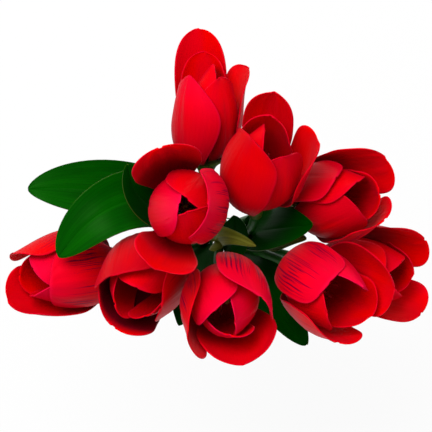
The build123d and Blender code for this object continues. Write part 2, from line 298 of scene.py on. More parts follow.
def bezier_tangent(points, t):
    """Directions along a cubic curve"""
    a, b, c, d = (np.asarray(point, float) for point in points)
    t = np.asarray(t, float)[:, None]
    return rows_unit((1 - t) ** 2 * (b - a) + 2 * (1 - t) * t * (c - b) + t ** 2 * (d - c))


def at_length(points, shares):
    """Curve parameters at shares of the curve's length"""
    t = np.linspace(0, 1, CURVE_STEPS)
    steps = np.linalg.norm(np.diff(bezier(points, t), axis=0), axis=1)
    length = np.concatenate([[0.0], np.cumsum(steps)])
    return np.interp(np.asarray(shares) * length[-1], length, t)


def width_share(v, root, widest, square, point):
    """Half width along a blade: swells from the root, then closes round the tip"""
    swell = root + (1 - root) * np.sin(math.pi / 2 * np.clip(v / widest, 0, 1))
    s = np.clip((v - widest) / (1 - widest), 0, 1)
    close = (1 - s ** square) ** (1 / point)
    return np.where(v < widest, swell, close)


def blade_rows(low_rows, tip_rows, widest):
    """Stations along a blade, closer together towards the round tip"""
    low = np.linspace(0, widest, low_rows, endpoint=False)
    tip = widest + (1 - widest) * np.sin(np.linspace(0, TIP_TURN, tip_rows))
    return np.concatenate([low, tip])


def head_frame(flower):
    """Two directions across the head and its axis"""
    axis = unit(flower["axis"])
    lean = (axis + UP) / (1 + axis[2])
    across = np.array([1.0, 0, 0]) - axis[0] * lean
    ahead = np.array([0, 1.0, 0]) - axis[1] * lean
    return across, ahead, axis


def in_head(flower, points):
    """Points of the head's own frame, placed in the bunch"""
    across, ahead, axis = head_frame(flower)
    points = np.asarray(points, float)
    return np.asarray(flower["foot"], float) + points @ np.array([across, ahead, axis])


def petal_surface(flower, azimuth, form, u, v):
    """Middle surface of a petal and its outward normals, rows along the petal and columns across it"""
    across, ahead, axis = head_frame(flower)
    foot = np.asarray(flower["foot"], float)
    turn = math.radians(azimuth)
    radial = math.cos(turn) * across + math.sin(turn) * ahead
    tangential = -math.sin(turn) * across + math.cos(turn) * ahead
    bulge, height, lift = form["bulge"], form["height"], form["lift"]
    meridian = [
        (form["root"], 0.0), (ROOT_FLARE * bulge, ROOT_RISE * height),
        (form["shoulder"] * bulge, SHOULDER_AT * height), (form["tip"], height),
    ]
    points = [foot + r * radial + (z + lift) * axis for r, z in meridian]
    t = at_length(points, v)
    middle = bezier(points, t)
    along = bezier_tangent(points, t)
    outward = np.cross(tangential, along)
    yaw = (PETAL_YAW * ease(2 * v))[:, None]
    side = np.cos(yaw) * tangential + np.sin(yaw) * outward
    outward = np.cos(yaw) * outward - np.sin(yaw) * tangential
    radius = (middle - foot) @ radial / np.maximum(along @ axis, LEAST_RISE)
    radius = np.clip(radius, ROUNDEST * bulge, FLATTEST_R)
    share = width_share(v, ROOT_WIDTH, WIDEST_AT, form["square"], form["point"])
    return arc_sections(middle, side, outward, radius, form["width"] * share, u)


def arc_sections(middle, side, back, radius, half_width, u):
    """Arcs through the middle line, curving away from the back direction, and the normals on their back"""
    angle = u[None, :, None] * (half_width / radius)[:, None, None]
    radius = radius[:, None, None]
    side, back = side[:, None, :], back[:, None, :]
    surface = middle[:, None, :] + radius * (np.sin(angle) * side - (1 - np.cos(angle)) * back)
    return surface, np.sin(angle) * side + np.cos(angle) * back


def stem_curve(number):
    """Foot of the stem in the grip and the four points of its bend"""
    flower = FLOWERS[number]
    start = np.zeros(3)
    if flower["ring"] is not None:
        turn = math.radians(flower["ring"])
        start = RING_R * np.array([math.cos(turn), math.sin(turn), 0.0])
    axis = unit(flower["axis"])
    end = np.asarray(flower["foot"], float) - NECK * axis
    top = start + STRAIGHT * UP
    return start, [top, top + flower["lead"] * UP, end - flower["tail"] * axis, end]


def leaf_surface(form, u, v):
    """Middle surface of a leaf and the normals of its underside"""
    _, bend = stem_curve(form["stem"])
    t = at_length(bend, [form["at"]])
    along = bezier_tangent(bend, t)[0]
    side = np.asarray(form["side"], float)
    side = unit(side - along * (side @ along))
    grip = STEM_R + LEAF_FIT + LEAF_SOLID_T / 2
    root = bezier(bend, t)[0] + grip * side
    points = [root, root + form["grow"] * along, form["bend"], form["tip"]]
    t = at_length(points, v)
    middle = bezier(points, t)
    along = bezier_tangent(points, t)
    opened = ease((v - LEAF_OPENS_AT) / LEAF_OPENING)[:, None]
    look = side * (opened - 1) + unit(form["face"]) * opened
    look = rows_unit(look - along * np.sum(look * along, axis=1, keepdims=True))
    flattened = ease((v - LEAF_FLATTENS_AT) / LEAF_OPENING) ** LEAF_FLATTENING
    radius = grip + (form["cup"] - grip) * flattened
    share = width_share(v, LEAF_ROOT_WIDTH / form["width"], LEAF_WIDEST_AT, LEAF_SQUARE, LEAF_POINT)
    half_width = np.minimum(form["width"] * share, LEAF_WRAP * radius)
    return arc_sections(middle, np.cross(along, look), -look, radius, half_width, u)


# Relief pressed into the blades: depths in millimetres, places and widths in shares of the blade, and the
# number of random turns that each blade draws

RELIEF_RNG = np.random.default_rng(7)
PETAL_COLUMNS = 45
PETAL_ROWS = (22, 18)
PETAL_DRAWS = 4
LEAF_COLUMNS = 49
LEAF_ROWS = (34, 18)
LEAF_DRAWS = 3
FADE = 0.3
TIP_FADE = 0.08
UPPER_FROM = 0.55
FIBRE_RIBS = 8.0
FIBRE_DEPTH = 0.07
FIBRE_SWAY = 1.5
FIBRE_SWAY_RATE = 3.0
FIBRES_FULL_AT = 0.25
FIBRES_FADE_FROM = 0.8
RIB_DEPTH = 0.3
RIB_WIDTH = 0.07
RIB_FROM = 0.15
RIB_TO = 0.97
FOLD_WIDTH = 0.10
FOLD_FROM = 0.4
FOLD_FADE = 0.4
SWELL = 0.45
SWELL_RATE = 2.2 * math.pi
SWELL_SLANT = 2.5
SWELL_FROM = 0.35
RIM_ROLL = 0.45
RIM_FROM = 0.74
RIM_TIP_FROM = 0.84
EDGE_RIPPLE = 0.3
EDGE_RIPPLE_RATE = 9.0
EDGE_RIPPLE_FROM = 0.55
LEAF_RELIEF_FROM = 0.3
LEAF_RELIEF_FADE = 0.25
LEAF_RIBS = 9.0
LEAF_RIB_DEPTH = 0.035
LEAF_MIDRIB = 0.5
LEAF_MIDRIB_WIDTH = 0.07
LEAF_WAVE_RATE = 11.0
LEAF_WAVE_SHIFT = 0.8


def beyond(x, start):
    """Zero up to start, then rising to one at the end"""
    return np.clip((x - start) / (1 - start), 0, 1) ** 2


def rise(x, start, fade):
    """Smooth step from zero at start to one after the fade"""
    return ease((x - start) / fade)


def fall(x, end, fade):
    """Smooth step from one before the fade to zero at the end"""
    return ease((end - x) / fade)


def petal_relief(u, v, free, folds):
    """Height of the pressed fibres, middle groove, folds, gentle swelling and rolled rim of a petal"""
    u, v = u[None, :], v[:, None]
    sway_turn, swell_turn, ripple_turn, _ = RELIEF_RNG.uniform(0, FULL_TURN, PETAL_DRAWS)
    upper = rise(v, UPPER_FROM, FADE)
    off_tip = fall(v, 1, TIP_FADE)
    body = ease(v / FIBRES_FULL_AT) * (1 - beyond(v, FIBRES_FADE_FROM))
    sway = FIBRE_SWAY * np.sin(FIBRE_SWAY_RATE * v + sway_turn)
    fibres = FIBRE_DEPTH * np.cos(FULL_TURN * FIBRE_RIBS * u + sway)
    groove = -RIB_DEPTH * np.exp(-(u / RIB_WIDTH) ** 2) * rise(v, RIB_FROM, FADE) * fall(v, RIB_TO, FADE)
    for place, depth in folds:
        crease = np.exp(-((u - place) / FOLD_WIDTH) ** 2)
        groove = groove - depth * crease * rise(v, FOLD_FROM, FOLD_FADE) * off_tip
    swell = SWELL * np.sin(SWELL_RATE * v + SWELL_SLANT * u + swell_turn) * rise(v, SWELL_FROM, FADE)
    roll = RIM_ROLL * free * np.maximum(beyond(np.abs(u), RIM_FROM) * upper, beyond(v, RIM_TIP_FROM))
    edge = beyond(np.abs(u), EDGE_RIPPLE_FROM) * upper * off_tip
    ripple = EDGE_RIPPLE * np.sin(EDGE_RIPPLE_RATE * v + ripple_turn) * edge
    return fibres * body + groove + swell + roll + ripple


def leaf_relief(u, v, wave):
    """Height of the embossed ribs, the folded middle and the wavy edge of a leaf, on its underside"""
    u, v = u[None, :], v[:, None]
    wave_turn = RELIEF_RNG.uniform(0, FULL_TURN, LEAF_DRAWS)[0]
    open_part = rise(v, LEAF_RELIEF_FROM, LEAF_RELIEF_FADE)
    ribs = LEAF_RIB_DEPTH * np.cos(FULL_TURN * LEAF_RIBS * u) * open_part
    midrib = LEAF_MIDRIB * np.exp(-np.abs(u / LEAF_MIDRIB_WIDTH)) * open_part
    swing = wave * np.sin(LEAF_WAVE_RATE * v + wave_turn + LEAF_WAVE_SHIFT * np.sign(u))
    return ribs + midrib + swing * np.abs(u) ** 3 * open_part


# Meshes

# Marks on the points that the materials read: a random seed and the shares of the vein print, of the painted
# pink sheen and of the painted shade
MARKS = ("seed", "vein", "blush", "dark")


class Sheets:
    """Gathers the skins of one piece, with the marks its materials read, and makes its object"""

    def __init__(self):
        self.points, self.faces, self.uvs, self.slots, self.count = [], [], [], [], 0
        self.marks = {name: [] for name in MARKS}

    def add(self, points, faces, uvs, slots, **marks):
        """Takes in one skin"""
        self.points.append(points)
        self.faces += [tuple(i + self.count for i in face) for face in faces]
        self.uvs += uvs
        self.slots += slots
        for name in MARKS:
            self.marks[name] += [marks.get(name, 0.0)] * len(points)
        self.count += len(points)

    def piece(self, name, materials, body, slot, *nodes):
        """Makes the object, hangs it on its body and hides the solids it replaces"""
        mesh = bpy.data.meshes.new(name)
        mesh.from_pydata((np.concatenate(self.points) * MM).tolist(), [], self.faces)
        layer = mesh.uv_layers.new(name="blade")
        layer.data.foreach_set("uv", np.asarray(self.uvs, np.float32).ravel())
        for mark, values in self.marks.items():
            mesh.attributes.new(mark, "FLOAT", "POINT").data.foreach_set("value", values)
        for material in materials:
            mesh.materials.append(material)
        mesh.polygons.foreach_set("material_index", self.slots)
        mesh.polygons.foreach_set("use_smooth", [True] * len(mesh.polygons))
        mesh.update()
        piece = bpy.data.objects.new(name, mesh)
        bpy.context.scene.collection.objects.link(piece)
        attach(piece, body)
        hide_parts(*nodes)


def surface_normals(surface):
    """Normals of a grid of points"""
    down = np.gradient(surface, axis=0)
    over = np.gradient(surface, axis=1)
    return rows_unit(np.cross(over, down))


def shell(sheets, surface, back, thickness, u, v, **marks):
    """A thin blade with two skins and a rim: slot 0 on the back, slot 1 on the face"""
    rows, columns = surface.shape[:2]
    normals = surface_normals(surface)
    normals *= np.sign(np.sum(normals * back, axis=-1, keepdims=True))
    half = normals * thickness / 2
    points = np.concatenate([(surface + half).reshape(-1, 3), (surface - half).reshape(-1, 3)])
    place = [((a + 1) / 2, b) for b in v for a in u]
    place += place
    skin = rows * columns
    flip = np.sum(np.cross(surface[1, 1] - surface[1, 0], surface[2, 0] - surface[1, 0]) * back[1, 0]) < 0
    faces, slots = [], []
    for r in range(rows - 1):
        for c in range(columns - 1):
            quad = (r * columns + c, r * columns + c + 1, (r + 1) * columns + c + 1, (r + 1) * columns + c)
            quad = quad[::-1] if flip else quad
            faces += [quad, tuple(i + skin for i in reversed(quad))]
            slots += [0, 1]
    bottom = list(range(columns))
    right = [r * columns + columns - 1 for r in range(1, rows)]
    top = [(rows - 1) * columns + c for c in range(columns - 2, -1, -1)]
    left = [r * columns for r in range(rows - 2, 0, -1)]
    loop = bottom + right + top + left
    for a, b in zip(loop, loop[1:] + loop[:1]):
        quad = (b, a, a + skin, b + skin)
        faces.append(quad[::-1] if flip else quad)
        slots.append(0)
    sheets.add(points, faces, [place[i] for face in faces for i in face], slots, **marks)


NO_TUBE_ALONG = np.array([0.31, 0.95, 0.1])


def tube(sheets, line, radii, slot, sides, lobes=0, depth=0.0):
    """A closed tube round a line, with as many grooves along it as it has lobes"""
    line = np.asarray(line, float)
    along = rows_unit(np.gradient(line, axis=0))
    over = [unit(np.cross(along[0], NO_TUBE_ALONG))]
    for tangent in along[1:]:
        over.append(unit(over[-1] - tangent * (over[-1] @ tangent)))
    over = np.array(over)
    other = np.cross(along, over)
    turn = np.linspace(0, FULL_TURN, sides, endpoint=False)
    shape = 1 + depth * (np.cos(lobes * turn) - 1) / 2
    ring = np.cos(turn)[None, :, None] * over[:, None, :] + np.sin(turn)[None, :, None] * other[:, None, :]
    radii = np.asarray(radii, float).reshape(len(line), -1)
    skin = line[:, None, :] + (radii * shape)[:, :, None] * ring
    close_tube(sheets, skin, line[0], line[-1], slot)


def close_tube(sheets, skin, first, last, slot):
    """Rings joined into a closed skin, with a fan at each end"""
    rows, sides = skin.shape[:2]
    points = np.concatenate([skin.reshape(-1, 3), first[None], last[None]])
    faces, uvs = [], []
    for r in range(rows - 1):
        low, high = r / (rows - 1), (r + 1) / (rows - 1)
        for s in range(sides):
            n = (s + 1) % sides
            faces.append((r * sides + s, r * sides + n, (r + 1) * sides + n, (r + 1) * sides + s))
            uvs += [(s / sides, low), ((s + 1) / sides, low), ((s + 1) / sides, high), (s / sides, high)]
    for s in range(sides):
        n = (s + 1) % sides
        faces += [(rows * sides, n, s), (rows * sides + 1, (rows - 1) * sides + s, (rows - 1) * sides + n)]
        uvs += [(s / sides, 0)] * 3 + [(s / sides, 1)] * 3
    sheets.add(points, faces, uvs, [slot] * len(faces))


# Materials: tones, the bands of a noise that change the tone, and depths of the bumps in metres

# Among the petal tones, the low tones are painted shade towards the root and down into the cup, the dark
# tones are painted shade on petals in the shade of others, and the pink sheen tone is a painted highlight
OUTSIDE = dict(
    bright=(0.72, 0.0, 0.001), cool=(0.62, 0.0, 0.006), thread=(0.48, 0.0, 0.004), low=(0.26, 0.0, 0.005),
    dark=(0.26, 0.0, 0.003), blush=(0.76, 0.001, 0.042), rim=(0.80, 0.006, 0.070), root=(0.20, 0.004, 0.0),
    vein=(0.050, 0.0, 0.026),
)
INSIDE = dict(
    bright=(0.78, 0.0, 0.0), cool=(0.70, 0.0, 0.006), thread=(0.55, 0.0, 0.0), rim=(0.80, 0.004, 0.040),
    low=(0.15, 0.0, 0.002), root=(0.14, 0.08, 0.006), dark=(0.045, 0.0, 0.006),
)
# Painted shade for leaves that lie under the heads
LEAF_SHADE = (0.0, 0.014, 0.0)
LEAF_FACE = ((0.0, 0.050, 0.0), (0.001, 0.076, 0.0), (0.0, 0.030, 0.0), (0.006, 0.070, 0.002))
LEAF_BACK = ((0.12, 0.125, 0.010), (0.20, 0.20, 0.025), (0.070, 0.080, 0.005), (0.06, 0.09, 0.006))
TAPE = dict(deep=(0.010, 0.085, 0.012), light=(0.022, 0.13, 0.022), wrinkle=(0.006, 0.045, 0.008))
STEEL = dict(deep=(0.32, 0.32, 0.31), light=(0.52, 0.51, 0.49))
CLOUD = (0.35, 0.65)
THREAD = (0.5, 0.75)
FINE_BUMP = 0.0001
BUMP = 0.0002
DEEP_BUMP = 0.0003

# Colour sockets of the mix node, whose names it shares with other kinds
MIX_FIRST, MIX_SECOND, MIX_RESULT = 6, 7, 2


class Graph:
    """Short words for the nodes of one material"""

    def __init__(self, name, **sockets):
        self.material = bpy.data.materials.new(name)
        self.material.use_nodes = True
        self.tree = self.material.node_tree
        self.shader = self.tree.nodes["Principled BSDF"]
        for socket, value in sockets.items():
            self.shader.inputs[socket.replace("_", " ")].default_value = value

    def node(self, kind, inputs=(), **settings):
        """A new node with its settings and inputs"""
        node = self.tree.nodes.new(kind)
        for key, value in settings.items():
            setattr(node, key, value)
        for key, value in dict(inputs).items():
            self.join(value, node.inputs[key])
        return node

    def join(self, value, socket):
        """Links a socket, or sets it to a value"""
        if isinstance(value, bpy.types.NodeSocket):
            self.tree.links.new(value, socket)
        else:
            socket.default_value = value

    def blade(self):
        """Places across and along a blade, both from 0 to 1"""
        spot = self.node("ShaderNodeUVMap", uv_map="blade").outputs["UV"]
        parts = self.node("ShaderNodeSeparateXYZ", {"Vector": spot})
        return parts.outputs["X"], parts.outputs["Y"]

    def value_of(self, name):
        return self.node("ShaderNodeAttribute", attribute_name=name).outputs["Fac"]

    def math(self, operation, *values):
        return self.node("ShaderNodeMath", dict(enumerate(values)), operation=operation).outputs[0]

    def times(self, *values):
        product = values[0]
        for value in values[1:]:
            product = self.math("MULTIPLY", product, value)
        return product

    def step(self, value, low, high):
        """Smooth step from 0 at low to 1 at high"""
        turned = low > high
        inputs = {
            "Value": value, "From Min": min(low, high), "From Max": max(low, high),
            "To Min": 1.0 if turned else 0.0, "To Max": 0.0 if turned else 1.0,
        }
        return self.node("ShaderNodeMapRange", inputs, interpolation_type="SMOOTHSTEP").outputs["Result"]

    def place(self, x, y, z):
        return self.node("ShaderNodeCombineXYZ", {"X": x, "Y": y, "Z": z}).outputs["Vector"]

    def noise(self, vector, scale=1.0, detail=2.0, rough=0.5):
        inputs = {"Vector": vector, "Scale": scale, "Detail": detail, "Roughness": rough}
        return self.node("ShaderNodeTexNoise", inputs).outputs["Fac"]

    def object_place(self):
        return self.node("ShaderNodeTexCoord").outputs["Object"]

    def drawn_noise(self, scale, **settings):
        """Noise over the object, drawn out by its own scale on each axis"""
        inputs = {"Vector": self.object_place(), "Scale": scale}
        return self.noise(self.node("ShaderNodeMapping", inputs).outputs["Vector"], **settings)

    def mix(self, share, first, second):
        """Goes from the first tone to the second"""
        node = self.node("ShaderNodeMix", data_type="RGBA")
        self.join(share, node.inputs["Factor"])
        for value, socket in ((first, MIX_FIRST), (second, MIX_SECOND)):
            value = value if isinstance(value, bpy.types.NodeSocket) else (*value, 1.0)
            self.join(value, node.inputs[socket])
        return node.outputs[MIX_RESULT]

    def colour(self, value):
        self.join(value, self.shader.inputs["Base Color"])

    def roughness(self, value, low, high):
        inputs = {"Value": value, "To Min": low, "To Max": high}
        self.join(self.node("ShaderNodeMapRange", inputs).outputs["Result"], self.shader.inputs["Roughness"])

    def bump(self, height, strength, distance):
        inputs = {"Height": height, "Strength": strength, "Distance": distance}
        self.join(self.node("ShaderNodeBump", inputs).outputs["Normal"], self.shader.inputs["Normal"])


def blade_noise(graph, across, along, seed, scales, **settings):
    """Noise over a blade, by its scales across it, along it and from seed to seed"""
    spot = graph.place(*(graph.times(*pair) for pair in zip((across, along, seed), scales)))
    return graph.noise(spot, **settings)


def fibres(graph, across, along, seed, per_width):
    """Fine lengthwise threads of a pressed blade"""
    return blade_noise(graph, across, along, seed, (per_width, 3.0, 40.0), detail=3.0, rough=0.6)


def edge_of(graph, across):
    """0 on the middle line of a blade, 1 on its two edges"""
    return graph.math("ABSOLUTE", graph.math("MULTIPLY_ADD", across, 2.0, -1.0))


def petal_outside():
    """Back of a petal: clouded red, darker at the root with painted shade, painted shade where it lies in the
    shade of others, a painted pink sheen that deepens the pink rim, and printed veins
    """
    graph = Graph(
        "petal_outside", Specular_IOR_Level=0.05, Specular_Tint=(1.0, 0.12, 0.25, 1.0),
        Sheen_Weight=0.08, Sheen_Roughness=0.3, Sheen_Tint=(1.0, 0.03, 0.20, 1.0),
    )
    across, along = graph.blade()
    seed, vein, blush, dark = (graph.value_of(mark) for mark in MARKS)
    edge = edge_of(graph, across)
    thread = fibres(graph, across, along, seed, 90.0)
    cloud = blade_noise(graph, across, along, seed, (2.2, 1.6, 17.0))
    tone = graph.mix(graph.step(cloud, *CLOUD), OUTSIDE["bright"], OUTSIDE["cool"])
    tone = graph.mix(graph.times(graph.step(thread, *THREAD), 0.3), tone, OUTSIDE["thread"])
    # Painted shade, darker towards the root of the petal
    tone = graph.mix(graph.times(graph.step(along, 0.85, 0.05), 0.85), tone, OUTSIDE["low"])
    # Painted shade where the petal lies in the shade of others
    tone = graph.mix(graph.times(dark, 0.6), tone, OUTSIDE["dark"])
    # Painted pink sheen, stronger towards the tip
    high = graph.math("MULTIPLY_ADD", graph.step(along, 0.55, 1.0), 0.8, 0.2)
    tone = graph.mix(graph.times(blush, high, 0.8), tone, OUTSIDE["blush"])
    # Pink rim along the edges and the tip: a faint edge tone on every petal, deepened by painted highlight
    # where the painted sheen lies
    rim = graph.math("MAXIMUM", graph.step(edge, 0.92, 1.0), graph.step(along, 0.96, 1.0))
    rim = graph.times(rim, graph.math("MULTIPLY_ADD", blush, 0.4, 0.08))
    tone = graph.mix(rim, tone, OUTSIDE["rim"])
    tone = graph.mix(graph.times(graph.step(along, 0.20, 0.02), 0.7), tone, OUTSIDE["root"])
    print_share = graph.times(vein_print(graph, across, along, seed, edge), vein)
    tone = graph.mix(print_share, tone, OUTSIDE["vein"])
    graph.colour(tone)
    graph.roughness(thread, 0.38, 0.55)
    graph.bump(thread, 0.25, BUMP)
    return graph.material


def vein_lines(graph, across, along, seed, count, width):
    """Parallel lengthwise lines, each present or not and with its own ends"""
    sway = blade_noise(graph, across, along, seed, (3.0, 2.0, 1.0))
    spot = graph.math("ADD", graph.times(across, count), graph.times(sway, 1.6))
    line = graph.math("FLOOR", spot)
    off = graph.math("ABSOLUTE", graph.math("SUBTRACT", graph.math("FRACT", spot), 0.5))
    own = graph.place(line, graph.times(seed, 97.0), count)
    chance = graph.node("ShaderNodeTexWhiteNoise", {"Vector": own}).outputs["Color"]
    parts = graph.node("ShaderNodeSeparateColor", {"Color": chance}).outputs
    start = graph.math("MULTIPLY_ADD", parts["Red"], 0.26, 0.28)
    end = graph.math("MULTIPLY_ADD", parts["Green"], 0.24, 0.70)
    after = graph.step(graph.math("SUBTRACT", along, start), 0.0, 0.10)
    before = graph.step(graph.math("SUBTRACT", end, along), 0.0, 0.10)
    present = graph.step(parts["Blue"], 0.35, 0.50)
    return graph.times(graph.step(off, width, width * 0.4), present, after, before)


def vein_print(graph, across, along, seed, edge):
    """Dark lengthwise streaks printed in clusters on the middle of a petal's back"""
    broad = vein_lines(graph, across, along, seed, 21.0, 0.24)
    fine = vein_lines(graph, across, along, seed, 47.0, 0.34)
    cluster = blade_noise(graph, across, along, seed, (5.0, 1.0, 31.0), detail=1.0)
    streak = graph.math("MAXIMUM", broad, graph.times(fine, 0.7))
    return graph.times(streak, graph.step(cluster, 0.34, 0.50), graph.step(edge, 0.96, 0.82), 0.85)


def petal_inside():
    """Face of a petal: clouded red with painted shade down into the cup, an olive root and painted shade
    where it lies in the shade of others
    """
    graph = Graph(
        "petal_inside", Specular_IOR_Level=0.04, Specular_Tint=(1.0, 0.12, 0.2, 1.0),
        Sheen_Weight=0.06, Sheen_Roughness=0.4, Sheen_Tint=(1.0, 0.03, 0.12, 1.0),
    )
    across, along = graph.blade()
    seed = graph.value_of("seed")
    edge = edge_of(graph, across)
    thread = fibres(graph, across, along, seed, 80.0)
    cloud = blade_noise(graph, across, along, seed, (2.0, 1.8, 23.0))
    tone = graph.mix(graph.step(cloud, *CLOUD), INSIDE["bright"], INSIDE["cool"])
    tone = graph.mix(graph.times(graph.step(thread, *THREAD), 0.25), tone, INSIDE["thread"])
    tone = graph.mix(graph.times(graph.step(edge, 0.9, 1.0), 0.25), tone, INSIDE["rim"])
    # Painted shade, darker down into the cup
    tone = graph.mix(graph.times(graph.step(along, 0.70, 0.25), 0.75), tone, INSIDE["low"])
    tone = graph.mix(graph.step(along, 0.10, 0.02), tone, INSIDE["root"])
    # Painted shade where the petal lies in the shade of others, fading out towards the tip
    shade = graph.times(graph.value_of("dark"), graph.step(along, 1.0, 0.80))
    tone = graph.mix(shade, tone, INSIDE["dark"])
    graph.colour(tone)
    graph.roughness(thread, 0.42, 0.60)
    graph.bump(thread, 0.2, BUMP)
    return graph.material


def leaf_side(name, deep, light, dark, edge_tone, rough, specular):
    """Pressed leaf fabric: parallel ribs, clouded tone, a cut edge and painted shade by the leaf's share"""
    graph = Graph(name, Specular_IOR_Level=specular, Specular_Tint=(0.35, 1.0, 0.25, 1.0))
    across, along = graph.blade()
    seed = graph.value_of("seed")
    edge = edge_of(graph, across)
    thread = fibres(graph, across, along, seed, 70.0)
    cloud = blade_noise(graph, across, along, seed, (3.0, 2.5, 29.0), detail=4.0)
    tone = graph.mix(graph.step(cloud, 0.35, 0.68), deep, light)
    tone = graph.mix(graph.times(graph.step(thread, 0.46, 0.66), 0.55), tone, dark)
    tone = graph.mix(graph.times(graph.step(edge, 0.10, 0.02), 0.5), tone, light)
    tone = graph.mix(graph.step(edge, 0.955, 1.0), tone, edge_tone)
    # Painted shade, by the leaf's share, where it lies under the heads
    tone = graph.mix(graph.times(graph.value_of("dark"), 0.8), tone, LEAF_SHADE)
    graph.colour(tone)
    graph.roughness(thread, rough, rough + 0.2)
    graph.bump(thread, 0.3, DEEP_BUMP)
    return graph.material


def moulded_green(name, deep, light, grain, rough):
    """Moulded plastic with flow lines along the piece and a clouded tone"""
    graph = Graph(name, Specular_IOR_Level=0.12)
    spot = graph.object_place()
    flow = graph.drawn_noise((900, 900, 60))
    cloud = graph.noise(spot, scale=90.0, detail=4.0, rough=0.6)
    fine = graph.noise(spot, scale=2600.0, detail=2.0)
    tone = graph.mix(graph.step(cloud, *CLOUD), deep, light)
    tone = graph.mix(graph.times(graph.step(flow, 0.5, 0.7), 0.4), tone, deep)
    graph.colour(tone)
    graph.roughness(fine, rough, rough + 0.18)
    graph.bump(fine, grain, BUMP)
    return graph.material


def plastic(name, deep, light, rough):
    """Small moulded pieces inside the flower"""
    graph = Graph(name, Specular_IOR_Level=0.35)
    cloud = graph.noise(graph.object_place(), scale=420.0, detail=3.0)
    graph.colour(graph.mix(graph.step(cloud, *CLOUD), deep, light))
    graph.roughness(cloud, rough, rough + 0.2)
    graph.bump(cloud, 0.2, BUMP)
    return graph.material


def paper_tape():
    """Stretched crepe tape: fine wrinkles across the lap, waxed"""
    graph = Graph("paper_tape", Specular_IOR_Level=0.15)
    crepe = graph.drawn_noise((500, 500, 2600), detail=4.0, rough=0.65)
    cloud = graph.noise(graph.object_place(), scale=160.0, detail=3.0)
    tone = graph.mix(graph.step(cloud, 0.3, 0.7), TAPE["deep"], TAPE["light"])
    graph.colour(graph.mix(graph.times(graph.step(crepe, *THREAD), 0.5), tone, TAPE["wrinkle"]))
    graph.roughness(crepe, 0.5, 0.75)
    graph.bump(crepe, 0.6, DEEP_BUMP)
    return graph.material


def steel_wire():
    """Drawn steel"""
    graph = Graph("steel_wire", Metallic=1.0)
    drawn = graph.drawn_noise((3000, 3000, 80))
    graph.colour(graph.mix(drawn, STEEL["deep"], STEEL["light"]))
    graph.roughness(drawn, 0.28, 0.5)
    graph.bump(drawn, 0.2, FINE_BUMP)
    return graph.material


PETAL_LOOKS = [petal_outside(), petal_inside()]
LEAF_LOOKS = [
    leaf_side("leaf_underside", *LEAF_BACK, 0.42, 0.10),
    leaf_side("leaf_face", *LEAF_FACE, 0.30, 0.06),
]
# A shaded copy of the leaf face, with almost no gloss, for leaves that lie deep in the shade of the heads
SHADED_LEAF_LOOKS = [LEAF_LOOKS[0], leaf_side("leaf_face_shaded", *LEAF_FACE, 0.45, 0.01)]
SHADED_FROM = 0.45
STEM_LOOK = moulded_green("stem_plastic", (0.004, 0.060, 0.003), (0.012, 0.105, 0.006), 0.2, 0.42)
CALYX_LOOK = moulded_green("calyx_plastic", (0.030, 0.075, 0.006), (0.075, 0.125, 0.014), 0.25, 0.40)
CENTRE_LOOKS = [
    plastic("receptacle_plastic", (0.035, 0.070, 0.008), (0.070, 0.110, 0.014), 0.45),
    plastic("pistil_plastic", (0.22, 0.24, 0.025), (0.38, 0.38, 0.06), 0.40),
    plastic("stamen_plastic", (0.45, 0.0, 0.004), (0.62, 0.004, 0.010), 0.42),
    plastic("anther_plastic", (0.22, 0.0, 0.006), (0.36, 0.002, 0.010), 0.6),
]
RECEPTACLE_SLOT, PISTIL_SLOT, STAMEN_SLOT, ANTHER_SLOT = range(4)
TAPE_LOOK = paper_tape()
WIRE_LOOK = steel_wire()


# Pieces of the flowers

OUTER_RIM_FREE = 1.0
INNER_RIM_FREE = 0.6


def whorl(number, layer, plain, free):
    """The three petals of one whorl as one piece, with the share of the roll that their rims are free for"""
    flower = FLOWERS[number]
    sheets = Sheets()
    u = np.linspace(-1, 1, PETAL_COLUMNS)
    v = blade_rows(*PETAL_ROWS, WIDEST_AT)
    for azimuth, changes in flower[layer]:
        form = {**plain, **changes}
        surface, back = petal_surface(flower, azimuth, form, u, v)
        surface = surface + petal_relief(u, v, free, form["folds"])[:, :, None] * back
        form["seed"] = RELIEF_RNG.uniform(0, 1)
        shell(sheets, surface, back, PETAL_T, u, v, **{name: form[name] for name in MARKS})
    name, body, node = f"tulip_{number}_{layer}_whorl", f"head_{number}", f"flower_{number}_{layer}_petals"
    sheets.piece(name, PETAL_LOOKS, body, f"{layer}_petal", node)


STAMENS = 6
STAMEN_ROOT_R = 1.7
STAMEN_ROOT_Z = 3.6
STAMEN_LEAN = math.radians(12.0)
STAMEN_LENGTH = 16.4
STAMEN_BOW = 0.35
STAMEN_ROWS = 10
STAMEN_SIDES = 10
FILAMENT_R = (0.6, 0.5)
ANTHER_LENGTH = 5.0
ANTHER_R = 0.8
ANTHER_ROWS = 11
ANTHER_SIDES = 16
ANTHER_ENDS = 0.02
ANTHER_LOBES = dict(lobes=2, depth=0.3)
PISTIL_FOOT = 3.9
PISTIL_LENGTH = 19.0
PISTIL_R = 1.15
PISTIL_WAIST = 0.25
PISTIL_TOP_R = 0.8
PISTIL_ROWS = 14
PISTIL_SIDES = 36
PISTIL_LOBES = dict(lobes=3, depth=0.35)
STIGMA_SWELL = 0.9
STIGMA_FROM = 0.75
STIGMA_FADE = 0.2

# Receptacle: heights on the axis of the head and radii
RECEPTACLE_SIDES = 32
RECEPTACLE = [
    (-11.1, 2.4), (-1.2, 2.45), (-1.1, 6.1), (-0.5, 6.15), (-0.42, 5.9), (-0.4, 3.9), (0.7, 3.9), (0.8, 2.7),
    (3.2, 2.6), (3.8, 2.2), (4.0, 1.3),
]


